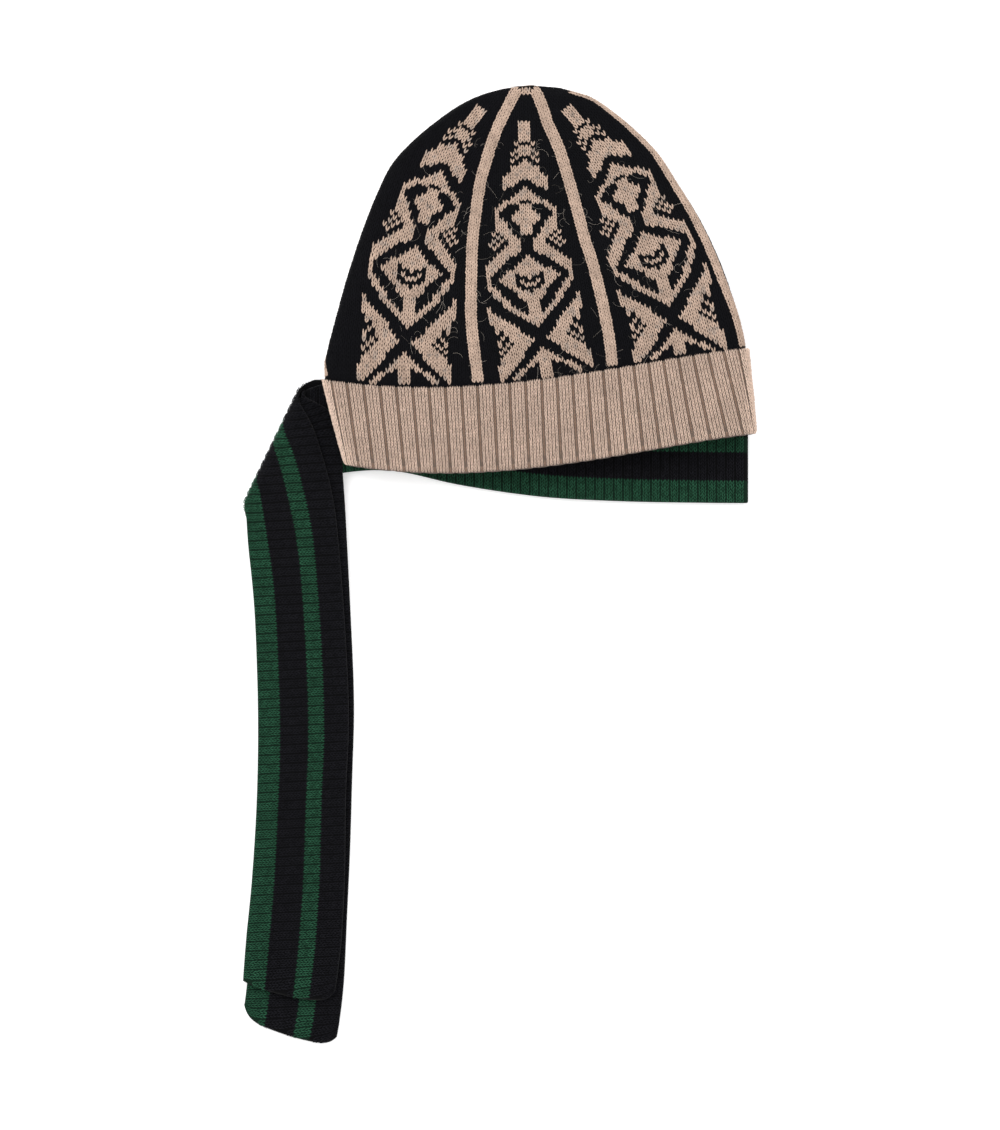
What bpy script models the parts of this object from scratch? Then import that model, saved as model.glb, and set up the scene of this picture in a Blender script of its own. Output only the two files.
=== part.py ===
"""A knitted beanie lying flat on its long striped strip.

The hat is a hollow tube of knit, closed to a dome at the top, with its ribbed cuff turned up outside.
The strip is folded double under the hat. Its two ends turn down over a slanting fold at the left.
X runs to the right side fold, Y runs from the cuff to the crown, and Z is up from the floor.
Lengths are in metres. Tables hold shares of the sizes named beside them.
"""

import math

import bpy
import numpy as np

MM = 0.001

# Hat as it lies
HAT_WIDTH = 225.0 * MM
HAT_HEIGHT = 205.0 * MM
WALL = 2.8 * MM
GAP = 0.3 * MM
CROWN_HALF_DEPTH = 6.8 * MM
SEAM_RIDGE_WIDTH = 6.0 * MM
SEAM_RIDGE_HEIGHT = 0.8 * MM
ROW_SAG = 9.5 * MM
SAG_PEAK = 0.38

# Turned-up cuff
CUFF_HEIGHT = 45.5 * MM
CUFF_OVERLAP = 6.0 * MM
RIB_COUNT = 56
RIB_GROOVE_DEPTH = 0.9 * MM
RIB_CREST_SHARE = 0.70

# Striped strip
STRIP_WIDTH = 49.0 * MM
STRIP_THICK = 2.6 * MM
STRIP_EDGE_ROUND = 0.9 * MM
UPPER_TIE_LENGTH = 296.0 * MM
LOWER_TIE_LENGTH = 319.0 * MM
FOLD_LEAN_DEG = 25.8
FOLD_CROSS_DEG = 41.7
FOLD_LENGTH = 67.0 * MM
END_TRIM = 0.04
END_BOW = 2.5 * MM
TIE_DROP_LENGTH = 55.0 * MM

# How finely each surface is divided
CROWN_ROWS = 20
END_STEPS = 6
PANEL_COLUMNS = 3
ROLL_STEPS = 6
BAND_ROWS = 10
TIE_ROWS = 17
STRIP_COLUMNS = 7

# Side folds of the crown from just above the cuff to the top.
# left x, left y, right x, right y (x in HAT_WIDTH, y in HAT_HEIGHT), depth (in CROWN_HALF_DEPTH)
CROWN_OUTLINE = (
    (-0.504, 0.283, 0.478, 0.342, 0.98),
    (-0.494, 0.332, 0.464, 0.409, 1.06),
    (-0.479, 0.394, 0.447, 0.469, 1.13),
    (-0.459, 0.477, 0.424, 0.539, 1.18),
    (-0.436, 0.560, 0.395, 0.611, 1.18),
    (-0.413, 0.635, 0.362, 0.679, 1.14),
    (-0.384, 0.716, 0.323, 0.746, 1.08),
    (-0.349, 0.793, 0.275, 0.823, 1.00),
    (-0.300, 0.853, 0.217, 0.886, 0.92),
    (-0.245, 0.904, 0.163, 0.935, 0.82),
    (-0.188, 0.948, 0.118, 0.968, 0.70),
    (-0.136, 0.975, 0.082, 0.982, 0.58),
    (-0.090, 0.990, 0.049, 0.993, 0.45),
)
CROWN_TOP = (-0.022, 1.000)

# Raised seam lines on the front and the back of the crown: y (in HAT_HEIGHT), x (in HAT_WIDTH)
SEAM_LEFT = (
    (0.233, -0.146),
    (0.285, -0.152),
    (0.363, -0.162),
    (0.440, -0.162),
    (0.596, -0.159),
    (0.674, -0.151),
    (0.751, -0.140),
    (0.803, -0.129),
    (0.855, -0.113),
    (0.907, -0.094),
    (0.959, -0.071),
    (0.984, -0.061),
)
SEAM_RIGHT = (
    (0.267, 0.172),
    (0.285, 0.168),
    (0.389, 0.154),
    (0.492, 0.133),
    (0.596, 0.107),
    (0.699, 0.082),
    (0.803, 0.055),
    (0.855, 0.039),
    (0.907, 0.018),
    (0.959, 0.002),
    (0.984, -0.007),
)

# Cuff corners, as x (in HAT_WIDTH) and y (in HAT_HEIGHT)
CUFF_BOTTOM_LEFT = (-0.459, 0.012)
CUFF_BOTTOM_RIGHT = (0.511, 0.092)
CUFF_LEFT_LEAN = -0.057
CUFF_RIGHT_LEAN = -0.016

# Shallow dents and swells of the crown's front:
# x (in HAT_WIDTH), y (in HAT_HEIGHT), radius (in HAT_WIDTH), rise (in CROWN_HALF_DEPTH)
CROWN_DENTS = (
    (-0.30, 0.42, 0.14, -0.16),
    (0.05, 0.30, 0.16, 0.14),
    (0.30, 0.48, 0.13, -0.14),
    (-0.16, 0.72, 0.13, 0.12),
    (0.13, 0.78, 0.11, -0.10),
)

# The doubled band from the nape fold to the slanting fold, a row for each line across it.
# green edge x, black edge x (in HAT_WIDTH), middle y (in HAT_HEIGHT), height (in STRIP_WIDTH)
BAND = (
    (0.483, 0.483, 0.036, 1.00),
    (0.376, 0.376, 0.037, 1.00),
    (0.188, 0.193, 0.041, 1.00),
    (0.000, 0.012, 0.053, 1.00),
    (-0.188, -0.165, 0.083, 1.00),
    (-0.341, -0.301, 0.119, 1.00),
    (-0.464, -0.395, 0.118, 1.03),
    (-0.565, -0.466, 0.102, 1.16),
)

# Middle of the slanting fold (in HAT_WIDTH, HAT_HEIGHT)
FOLD_PLACE = (-0.634, 0.070)

# The two ties from the fold to their ends, a row for each line across them.
# green edge x and y, black edge x and y (x in STRIP_WIDTH, y down in the tie's length)
UPPER_TIE = (
    (-0.243, 0.183, 0.460, -0.032),
    (-0.211, 0.237, 0.568, 0.022),
    (-0.189, 0.281, 0.654, 0.075),
    (-0.168, 0.344, 0.730, 0.156),
    (-0.146, 0.461, 0.817, 0.353),
    (-0.146, 0.568, 0.849, 0.496),
    (-0.168, 0.676, 0.817, 0.631),
    (-0.216, 0.792, 0.806, 0.774),
    (-0.265, 0.873, 0.773, 0.882),
    (-0.292, 0.927, 0.730, 0.948),
    (-0.308, 0.964, 0.687, 1.000),
)
LOWER_TIE = (
    (-0.189, 0.153, 0.557, -0.051),
    (-0.178, 0.194, 0.698, -0.008),
    (-0.157, 0.244, 0.784, 0.045),
    (-0.135, 0.302, 0.817, 0.120),
    (-0.114, 0.394, 0.860, 0.261),
    (-0.103, 0.493, 0.903, 0.427),
    (-0.114, 0.593, 0.882, 0.560),
    (-0.146, 0.693, 0.860, 0.676),
    (-0.189, 0.784, 0.828, 0.784),
    (-0.243, 0.867, 0.795, 0.892),
    (-0.287, 0.925, 0.748, 0.958),
    (-0.319, 0.953, 0.700, 1.002),
)

# Colours, linear
BLACK = (0.0085, 0.0085, 0.0105, 1.0)
BEIGE = (0.58, 0.43, 0.35, 1.0)
GREEN = (0.014, 0.075, 0.037, 1.0)


def knit_material(name, colour):
    material = bpy.data.materials.new(name)
    material.use_nodes = True
    shader = material.node_tree.nodes["Principled BSDF"]
    shader.inputs["Base Color"].default_value = colour
    shader.inputs["Roughness"].default_value = 0.95
    return material


def smooth_rows(table, count):
    """The table's columns at count even steps, on a cubic through its rows."""
    rows = np.array(table, float)
    padded = np.vstack([2 * rows[0] - rows[1], rows, 2 * rows[-1] - rows[-2]])
    place = np.linspace(0, len(rows) - 1, count)
    start = np.minimum(place.astype(int), len(rows) - 2)
    t = (place - start)[:, None]
    a, b, c, d = (padded[start + k] for k in range(4))
    return b + 0.5 * t * (c - a + t * (2 * a - 5 * b + 4 * c - d + t * (3 * (b - c) + d - a)))


def rise(x):
    """0 below 0, 1 above 1, and a smooth step between them."""
    x = np.clip(x, 0, 1)
    return x * x * (3 - 2 * x)


def on_hat(x, y):
    return np.array([x * HAT_WIDTH, y * HAT_HEIGHT])


def sag_shape(t):
    """A bow over 0 to 1 that is 1 at SAG_PEAK."""
    t = np.clip(t, 0, 1)
    lean = (1 - SAG_PEAK) / SAG_PEAK
    return t * (1 - t) ** lean / (SAG_PEAK * (1 - SAG_PEAK) ** lean)


# Levels of the strip's four layers, and of the hat above them
LAYER = STRIP_THICK + GAP
INNER_ROLL = LAYER / 2
OUTER_ROLL = 3 * LAYER / 2
BASE_LEFT = 3 * LAYER
BASE_RIGHT = 2 * LAYER
CUFF_HALF_DEPTH = CROWN_HALF_DEPTH + WALL + GAP


def hat_base(t, lift):
    """Level of the underside, t from the left side fold to the right one."""
    return lift * (BASE_RIGHT + (BASE_LEFT - BASE_RIGHT) * (1 - rise(4 * np.asarray(t, float))))


class Ring:
    """A flattened loop of knit: two flats joined by half rounds, bowed and slanted in plan."""

    def __init__(self, left, right, sag, half_depth, lift, rest=0.0):
        self.left = np.array(left)
        self.right = np.array(right)
        self.sag = sag
        self.half_depth = half_depth
        self.lift = lift
        self.rest = rest
        self.half_width = np.linalg.norm(self.right - self.left) / 2
        self.flat = self.half_width - half_depth

    def plan(self, x):
        t = (x / self.half_width + 1) / 2
        spot = self.left + np.asarray(t)[..., None] * (self.right - self.left)
        spot[..., 1] -= self.sag * sag_shape(t)
        return t, spot

    def points(self, share, normal_x, normal_z, offset):
        """share: place along the flat from -1 to 1, with the outward direction and the height over the surface."""
        reach = self.half_depth + offset
        t, spot = self.plan(share * self.flat + normal_x * reach)
        height = self.rest + hat_base(t, self.lift) + self.half_depth + normal_z * reach
        return np.column_stack([spot, height])


def end_angles():
    return np.linspace(math.pi / 2, -math.pi / 2, END_STEPS + 1)


def cuff_ring(v):
    """The cuff's outer surface at share v of its height."""
    left = on_hat(CUFF_BOTTOM_LEFT[0] + CUFF_LEFT_LEAN * v, CUFF_BOTTOM_LEFT[1])
    right = on_hat(CUFF_BOTTOM_RIGHT[0] + CUFF_RIGHT_LEAN * v, CUFF_BOTTOM_RIGHT[1])
    up = np.array([0, CUFF_HEIGHT * v])
    return Ring(left + up, right + up, ROW_SAG, CUFF_HALF_DEPTH, 1.0)


def loft(name, rings, material, looped=False, tips=(None, None)):
    """One closed body through rings of equal length. A tip closes an end to a point."""
    count = len(rings[0])
    points = np.vstack(rings)
    faces = []
    spans = len(rings) if looped else len(rings) - 1
    for row in range(spans):
        here = row * count
        there = (row + 1) % len(rings) * count
        for i in range(count):
            j = (i + 1) % count
            faces.append((here + i, here + j, there + j, there + i))
    if not looped:
        for tip, start, turn in ((tips[0], 0, 1), (tips[1], (len(rings) - 1) * count, -1)):
            if tip is None:
                tip = points[start:start + count].mean(axis=0)
            centre = len(points)
            points = np.vstack([points, tip])
            for i in range(count):
                pair = (start + i, start + (i + 1) % count)
                faces.append((centre,) + pair[::-turn])
    mesh = bpy.data.meshes.new(name)
    mesh.from_pydata(points.tolist(), [], faces)
    mesh.calc_loop_triangles()
    corner = points[[c for t in mesh.loop_triangles for c in t.vertices]].reshape(-1, 3, 3)
    if np.linalg.det(corner).sum() < 0:
        mesh.flip_normals()
    mesh.polygons.foreach_set("use_smooth", [True] * len(mesh.polygons))
    mesh.materials.append(material)
    body = bpy.data.objects.new(name, mesh)
    bpy.context.scene.collection.objects.link(body)
    return body


def seam_shares(ring, line):
    """Where a seam line crosses a ring, as a share of its flat, with half the ridge's width as a share."""
    height, across = np.array(line[::-1]).T * np.array([[HAT_HEIGHT], [HAT_WIDTH]])
    order = np.argsort(height)
    x = 0.0
    middle = (ring.left[0] + ring.right[0]) / 2
    for _ in range(4):
        x = np.interp(ring.plan(x)[1][1], height[order], across[order]) - middle
    return x / ring.flat, SEAM_RIDGE_WIDTH / 2 / ring.flat


def crown_columns(ring):
    """Column places round the crown, as flat share, outward direction and ridge height."""
    shares = [-1.0]
    ridges = [0.0]
    for line in (SEAM_LEFT, SEAM_RIGHT):
        seam, half = seam_shares(ring, line)
        gap = np.linspace(shares[-1], seam - half, PANEL_COLUMNS + 2)[1:]
        shares += [*gap, seam - half / 2, seam + half / 2, seam + half]
        ridges += [0.0] * len(gap) + [1.0, 1.0, 0.0]
    shares += [*np.linspace(shares[-1], 1.0, PANEL_COLUMNS + 2)[1:]]
    ridges += [0.0] * (PANEL_COLUMNS + 1)
    front = np.array(shares)
    ridge = np.array(ridges)
    turn = end_angles()[1:-1]
    share = np.concatenate([front, np.ones(len(turn)), front[::-1], -np.ones(len(turn))])
    flat = np.zeros(len(front))
    across = np.concatenate([flat, np.cos(turn), flat, -np.cos(turn)])
    upward = np.concatenate([flat + 1, np.sin(turn), flat - 1, -np.sin(turn)])
    side = np.cos(turn) ** 8
    raised = np.concatenate([ridge, side, ridge[::-1], side])
    return share, across, upward, raised * SEAM_RIDGE_HEIGHT


def dented(points, upward, strength):
    """The front surface with its shallow dents and swells."""
    moved = points.copy()
    for x, y, radius, depth in CROWN_DENTS:
        away = np.linalg.norm(points[:, :2] - on_hat(x, y), axis=1) / (radius * HAT_WIDTH)
        moved[:, 2] += strength * depth * CROWN_HALF_DEPTH * (1 - rise(away)) * np.clip(upward, 0, 1)
    return moved


def crown():
    rim_top = 1 - GAP / CUFF_HEIGHT
    rim_bottom = 1 - CUFF_OVERLAP / CUFF_HEIGHT
    tuck = WALL + GAP
    rings = []
    for v in (rim_bottom, rim_top):
        rings.append((cuff_ring(v), -tuck))
    for left_x, left_y, right_x, right_y, depth in smooth_rows(CROWN_OUTLINE, CROWN_ROWS):
        height = (left_y + right_y) / 2
        low = (CROWN_OUTLINE[0][1] + CROWN_OUTLINE[0][3]) / 2
        fade = rise((height - low) / (1 - low))
        lift = 1 - rise((height - low) / 0.45)
        ring = Ring(
            on_hat(left_x, left_y),
            on_hat(right_x, right_y),
            ROW_SAG * (1 - fade),
            CROWN_HALF_DEPTH * depth,
            lift,
            tuck * lift + SEAM_RIDGE_HEIGHT * (1 - lift),
        )
        rings.append((ring, 0.0))
    outer = []
    inner = []
    for number, (ring, base) in enumerate(rings):
        share, across, upward, ridge = crown_columns(ring)
        shown = rise((number - 1) / 3)
        outer.append(dented(ring.points(share, across, upward, base + ridge * shown), upward, shown))
        inner.append(dented(ring.points(share, across, upward, base - WALL), upward, shown))
    inner = inner[:-2]
    tip = [*on_hat(*CROWN_TOP), outer[-1][:, 2].mean()]
    loft("crown", inner[::-1] + outer, knit_material("black_knit", BLACK), tips=(None, tip))


def cuff_columns():
    """Column places round the cuff, three to a rib, with the groove's depth at each."""
    ring = cuff_ring(0.5)
    flat = 2 * ring.flat
    half_round = math.pi * ring.half_depth
    around = 2 * (flat + half_round)
    edge = (1 - RIB_CREST_SHARE) / 2
    places = (np.arange(RIB_COUNT)[:, None] + np.array([0.0, edge, 1 - edge])).ravel() / RIB_COUNT
    groove = np.tile([1.0, 0.0, 0.0], RIB_COUNT)
    share, across, upward = np.zeros((3, len(places)))
    for i, place in enumerate(places * around):
        if place < flat:
            share[i] = 2 * place / flat - 1
            upward[i] = 1
        elif place < flat + half_round:
            turn = math.pi / 2 - (place - flat) / ring.half_depth
            share[i] = 1
            across[i] = math.cos(turn)
            upward[i] = math.sin(turn)
        elif place < 2 * flat + half_round:
            share[i] = 1 - 2 * (place - flat - half_round) / flat
            upward[i] = -1
        else:
            turn = math.pi / 2 - (place - 2 * flat - half_round) / ring.half_depth
            share[i] = -1
            across[i] = -math.cos(turn)
            upward[i] = -math.sin(turn)
    return share, across, upward, groove * RIB_GROOVE_DEPTH


def cuff():
    share, across, upward, groove = cuff_columns()
    bend = WALL + GAP / 2
    low = bend / CUFF_HEIGHT
    inner_top = 1 - (CUFF_OVERLAP + GAP) / CUFF_HEIGHT
    corner = 0.3 * WALL
    corner_v = corner / CUFF_HEIGHT
    around_bend = [low * (1 - math.sin(a)) for a in (math.pi / 4, math.pi / 2)]
    drop_in = bend * (1 - math.cos(math.pi / 4))
    # share of the cuff's height, distance in from the outside, share of the groove's depth
    profile = (
        (1 - corner_v, 0.0, 1.0),
        (0.5, 0.0, 1.0),
        (low * 1.3, 0.0, 1.0),
        (around_bend[0], drop_in, 0.4),
        (around_bend[1], bend, 0.0),
        (around_bend[0], 2 * bend - drop_in, 0.0),
        (low, 2 * bend, 0.0),
        (inner_top, 2 * bend, 0.0),
        (inner_top, WALL + GAP, 0.0),
        (low, WALL + GAP, 0.0),
        (low, WALL, 0.0),
        (1 - corner_v, WALL, 0.0),
        (1.0, WALL - corner, 0.0),
        (1.0, corner, 0.6),
    )
    rings = []
    for v, inward, relief in profile:
        rings.append(cuff_ring(v).points(share, across, upward, -inward - relief * groove))
    loft("cuff", rings, knit_material("beige_knit", BEIGE), looped=True)


class Half:
    """One half of the strip, from the nape fold to its tie's end, with the slanting fold rolled over."""

    def __init__(self, level, roll, tie, tie_length):
        self.level = level
        self.roll = roll
        lean = math.radians(FOLD_LEAN_DEG)
        along = np.array([math.sin(lean), math.cos(lean)])
        self.out = np.array([-math.cos(lean), math.sin(lean)])
        place = on_hat(*FOLD_PLACE)
        ends = place + np.array([[-0.5], [0.5]]) * FOLD_LENGTH * along
        ends = ends - self.out * (OUTER_ROLL + STRIP_THICK / 2)
        self.axis = ends[0]
        self.drop_start = ends[0][1] - STRIP_WIDTH / 5
        slide = -along / math.tan(math.radians(FOLD_CROSS_DEG))
        band = []
        for green_x, black_x, middle_y, height in BAND:
            tall = np.array([0, height * STRIP_WIDTH / 2])
            band.append([*(on_hat(green_x, middle_y) - tall), *(on_hat(black_x, middle_y) + tall)])
        turns = []
        for angle in np.linspace(0, math.pi, ROLL_STEPS + 1):
            shift = slide * roll * (angle - math.pi / 2) + self.out * roll * angle
            turns.append((ends + shift).ravel())
        edges = np.array(tie).reshape(-1, 2, 2)
        edges = place + edges * np.array([STRIP_WIDTH, -tie_length])
        past = (edges - self.axis) @ self.out
        edges = edges + (math.pi * roll - 2 * past)[..., None] * self.out
        band = smooth_rows(np.vstack([band, turns[0]]), BAND_ROWS + 1)
        tie = smooth_rows(np.vstack([turns[-1], edges.reshape(-1, 4)]), TIE_ROWS + 1)
        self.rows = np.vstack([band[:-1], turns, tie[1:]])

    def grid(self):
        """Middle surface of the strip and its upward direction, one line of points to a row."""
        points = []
        normals = []
        for number, row in enumerate(self.rows):
            green, black = row.reshape(2, 2)
            width = np.linalg.norm(black - green)
            from_end = len(self.rows) - 1 - number
            trim = END_TRIM * STRIP_WIDTH / width * (from_end == 0)
            edge = trim + STRIP_EDGE_ROUND / width
            share = [trim, *np.linspace(edge, 1 - edge, STRIP_COLUMNS), 1 - trim]
            share = np.array(share)[:, None]
            onward = (row - self.rows[number - 1]).reshape(2, 2).mean(axis=0)
            bow = END_BOW * (1 - (2 * share - 1) ** 2) * (from_end == 0)
            flat = green + share * (black - green) + bow * onward / np.linalg.norm(onward)
            spot, normal = self.rolled(flat)
            points.append(spot)
            normals.append(normal)
        return np.array(points), np.array(normals)

    def rolled(self, flat):
        """Flat points carried round the slanting fold: a half turn of radius roll, then back over itself."""
        past = (flat - self.axis) @ self.out
        angle = np.clip(past / self.roll, 0, math.pi)
        beyond = np.maximum(past - math.pi * self.roll, 0)
        travel = np.minimum(past, 0) + self.roll * np.sin(angle) - beyond
        spot = flat + (travel - past)[:, None] * self.out
        drop = 2 * LAYER * rise((self.drop_start - spot[:, 1]) / TIE_DROP_LENGTH) * (beyond > 0)
        height = self.level + self.roll * (1 - np.cos(angle)) - drop
        normal = np.column_stack([np.sin(angle)[:, None] * -self.out, np.cos(angle)])
        return np.column_stack([spot, height]), normal


def strip():
    low = STRIP_THICK / 2
    upper = Half(low, OUTER_ROLL, UPPER_TIE, UPPER_TIE_LENGTH)
    lower = Half(low + LAYER, INNER_ROLL, LOWER_TIE, LOWER_TIE_LENGTH)
    upper_points, upper_normals = upper.grid()
    lower_points, lower_normals = lower.grid()
    turn = np.linspace(0, math.pi, ROLL_STEPS + 1)[1:-1]
    start = upper_points[0]
    nape_points = []
    nape_normals = []
    for angle in turn:
        swing = np.array([INNER_ROLL * math.sin(angle), 0, INNER_ROLL * (1 - math.cos(angle))])
        nape_points.append(start + swing)
        nape_normals.append(np.tile([-math.sin(angle), 0, math.cos(angle)], (len(start), 1)))
    points = np.concatenate([upper_points[::-1], nape_points, lower_points])
    normals = np.concatenate([upper_normals[::-1], nape_normals, -lower_normals])
    half = STRIP_THICK / 2
    rings = []
    for spot, normal in zip(points, normals):
        face = spot[1:-1] + half * normal[1:-1]
        back = spot[1:-1] - half * normal[1:-1]
        rings.append(np.vstack([spot[:1], face, spot[-1:], back[::-1]]))
    loft("striped_strip", rings, knit_material("green_and_black_knit", GREEN))


for old in list(bpy.data.objects):
    bpy.data.objects.remove(old, do_unlink=True)

crown()
cuff()
strip()

# The floor is at height 0, and the middle of the whole outline is at the origin
corners = []
for body in bpy.context.scene.collection.objects:
    corners += [vertex.co[:] for vertex in body.data.vertices]
corners = np.array(corners)
shift = -(corners.min(axis=0) + corners.max(axis=0)) / 2
shift[2] = -corners[:, 2].min()
for body in bpy.context.scene.collection.objects:
    for vertex in body.data.vertices:
        vertex.co = [float(a + b) for a, b in zip(vertex.co, shift)]
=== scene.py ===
"""A knitted beanie lying flat on its striped strip, seen from straight above.

The hat is a flattened tube of knit with a turned-up ribbed cuff. The strip is folded double under it,
and its two ends turn down over a slanting fold at the left. Lengths are in metres.
X runs to the right side fold, Y from the cuff to the crown, and Z up from the floor.
"""

import math

import bpy
import numpy as np
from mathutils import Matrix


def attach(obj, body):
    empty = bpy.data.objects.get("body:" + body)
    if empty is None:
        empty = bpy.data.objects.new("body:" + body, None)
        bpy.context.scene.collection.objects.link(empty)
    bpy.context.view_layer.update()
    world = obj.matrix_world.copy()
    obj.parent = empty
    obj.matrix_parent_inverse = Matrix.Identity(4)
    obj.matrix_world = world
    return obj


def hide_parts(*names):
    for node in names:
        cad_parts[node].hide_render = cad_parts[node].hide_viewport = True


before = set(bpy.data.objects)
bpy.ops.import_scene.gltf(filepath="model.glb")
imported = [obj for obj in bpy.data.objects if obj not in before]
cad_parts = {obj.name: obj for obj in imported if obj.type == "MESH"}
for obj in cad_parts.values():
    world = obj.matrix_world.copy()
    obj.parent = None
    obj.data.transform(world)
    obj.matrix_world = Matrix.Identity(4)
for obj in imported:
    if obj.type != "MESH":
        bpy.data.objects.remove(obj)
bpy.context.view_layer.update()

# --- Table and light ---------------------------------------------------------------------------
# A photographer's light table of matt white acrylic, lit from below and by large soft lamps. The camera hangs over it on a long
# lens, so that the hat is seen without perspective.
MM = 0.001
PIXEL = 0.53 * MM
CAMERA_HEIGHT = 2.5
VIEW_LEVEL = 8 * MM


def linear(code):
    """The linear colour of an sRGB hex value."""
    parts = np.array([int(code[i:i + 2], 16) / 255 for i in (1, 3, 5)])
    return np.where(parts <= 0.04045, parts / 12.92, ((parts + 0.055) / 1.055) ** 2.4)


def node(tree, kind, inputs=(), **settings):
    """Adds one node, with its settings, and its inputs as numbers or as links from other nodes."""
    made = tree.nodes.new(kind)
    for key, value in settings.items():
        setattr(made, key, value)
    for key, value in dict(inputs).items():
        if isinstance(value, bpy.types.NodeSocket):
            tree.links.new(value, made.inputs[key])
        else:
            made.inputs[key].default_value = value
    return made


def mesh_piece(name, points, corners, material, colours=None):
    """A smooth piece from its points and its triangles, with a linear colour at each point."""
    mesh = bpy.data.meshes.new(name)
    mesh.vertices.add(len(points))
    mesh.vertices.foreach_set("co", np.ascontiguousarray(points, np.float32).ravel())
    mesh.loops.add(corners.size)
    mesh.polygons.add(len(corners))
    mesh.polygons.foreach_set("loop_start", np.arange(0, corners.size, 3))
    mesh.polygons.foreach_set("vertices", np.ascontiguousarray(corners, np.int32).ravel())
    mesh.polygons.foreach_set("use_smooth", np.ones(len(corners), bool))
    mesh.update(calc_edges=True)
    if colours is not None:
        layer = mesh.color_attributes.new("yarn", "FLOAT_COLOR", "POINT")
        rgba = np.column_stack([colours, np.ones(len(colours))])
        layer.data.foreach_set("color", rgba.astype(np.float32).ravel())
    mesh.materials.append(material)
    piece = bpy.data.objects.new(name, mesh)
    bpy.context.scene.collection.objects.link(piece)
    return piece


def new_material(name):
    material = bpy.data.materials.new(name)
    material.use_nodes = True
    return material, material.node_tree, material.node_tree.nodes["Principled BSDF"]


# Matt white acrylic with tubes behind it: an even surface with no gloss that glows a little.
acrylic, tree, shader = new_material("backlit_white_acrylic")
tint = node(tree, "ShaderNodeTexNoise", {"Scale": 3.0, "Detail": 1.0})
ramp = node(tree, "ShaderNodeMixRGB", {"Fac": tint.outputs["Fac"]})
ramp.inputs["Color1"].default_value = (*linear("#F6F6F6"), 1)
ramp.inputs["Color2"].default_value = (*linear("#F9F9F9"), 1)
tree.links.new(ramp.outputs["Color"], shader.inputs["Base Color"])
shader.inputs["Roughness"].default_value = 0.9
shader.inputs["Specular IOR Level"].default_value = 0.1
shader.inputs["Emission Color"].default_value = (1, 1, 1, 1)
shader.inputs["Emission Strength"].default_value = 0.30
side = np.array([[-3, -3, 0], [3, -3, 0], [3, 3, 0], [-3, 3, 0]], float)
table = mesh_piece("table_top", side, np.array([[0, 1, 2], [0, 2, 3]]), acrylic)

world = bpy.data.worlds.new("soft_room")
bpy.context.scene.world = world
world.use_nodes = True
world.node_tree.nodes["Background"].inputs["Color"].default_value = (1, 1, 1, 1)
world.node_tree.nodes["Background"].inputs["Strength"].default_value = 0.90
for lamp_name, spot, size, energy in (
    ("lamp_above_left", (-0.9, 1.1, 1.7), 1.8, 32.0),
    ("lamp_right", (1.2, 0.3, 1.5), 1.6, 10.0),
):
    light = bpy.data.lights.new(lamp_name, "AREA")
    light.size = size
    light.energy = energy
    lamp = bpy.data.objects.new(lamp_name, light)
    lamp.location = spot
    aim = -np.array(spot) / np.linalg.norm(spot)
    lamp.rotation_euler = (math.acos(-aim[2]), 0, math.atan2(aim[1], aim[0]) - math.pi / 2)
    bpy.context.scene.collection.objects.link(lamp)

lens = bpy.data.cameras.new("long_lens")
lens.sensor_fit = "HORIZONTAL"
lens.sensor_width = 36.0
lens.lens = lens.sensor_width * (CAMERA_HEIGHT - VIEW_LEVEL) / (1000 * PIXEL)
lens.clip_end = 20
camera = bpy.data.objects.new("camera_above", lens)
camera.location = (PIXEL / 2, PIXEL / 2, CAMERA_HEIGHT)
bpy.context.scene.collection.objects.link(camera)
bpy.context.scene.camera = camera
bpy.context.scene.view_settings.view_transform = "Standard"

# --- Crown -------------------------------------------------------------------------------------
# The black tube of fine wool jersey, closed to a dome by seams between six gores and laid flat,
# so that its two side folds are half rounds. This is the cloth behind the stitches.
SHIFT = np.array([21.3015, 50.0286]) * MM
HAT_WIDTH = 225 * MM
HAT_HEIGHT = 205 * MM
WALL = 2.8 * MM
GAP = 0.3 * MM
CROWN_HALF_DEPTH = 6.8 * MM
ROW_SAG = 9.5 * MM
SAG_PEAK = 0.38
SEAM_RIDGE_HEIGHT = 0.8 * MM
SEAM_RIDGE_WIDTH = 6.0 * MM
STRIP_LAYER = 2.9 * MM
BASE_LEFT = 3 * STRIP_LAYER
BASE_RIGHT = 2 * STRIP_LAYER
CUFF_HEIGHT = 45.5 * MM
CUFF_OVERLAP = 6.0 * MM
CUFF_HALF_DEPTH = CROWN_HALF_DEPTH + WALL + GAP
CLOTH_SINK = 0.6 * MM
CROWN_BLACK = "#0A0A0D"

# left x, left y, right x, right y (x in HAT_WIDTH, y in HAT_HEIGHT), depth (in CROWN_HALF_DEPTH)
CROWN_OUTLINE = (
    (-0.504, 0.283, 0.478, 0.342, 0.98),
    (-0.494, 0.332, 0.464, 0.409, 1.06),
    (-0.479, 0.394, 0.447, 0.469, 1.13),
    (-0.459, 0.477, 0.424, 0.539, 1.18),
    (-0.436, 0.560, 0.395, 0.611, 1.18),
    (-0.413, 0.635, 0.362, 0.679, 1.14),
    (-0.384, 0.716, 0.323, 0.746, 1.08),
    (-0.349, 0.793, 0.275, 0.823, 1.00),
    (-0.300, 0.853, 0.217, 0.886, 0.92),
    (-0.245, 0.904, 0.163, 0.935, 0.82),
    (-0.188, 0.948, 0.118, 0.968, 0.70),
    (-0.136, 0.975, 0.082, 0.982, 0.58),
    (-0.090, 0.990, 0.049, 0.993, 0.45),
)
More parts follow.
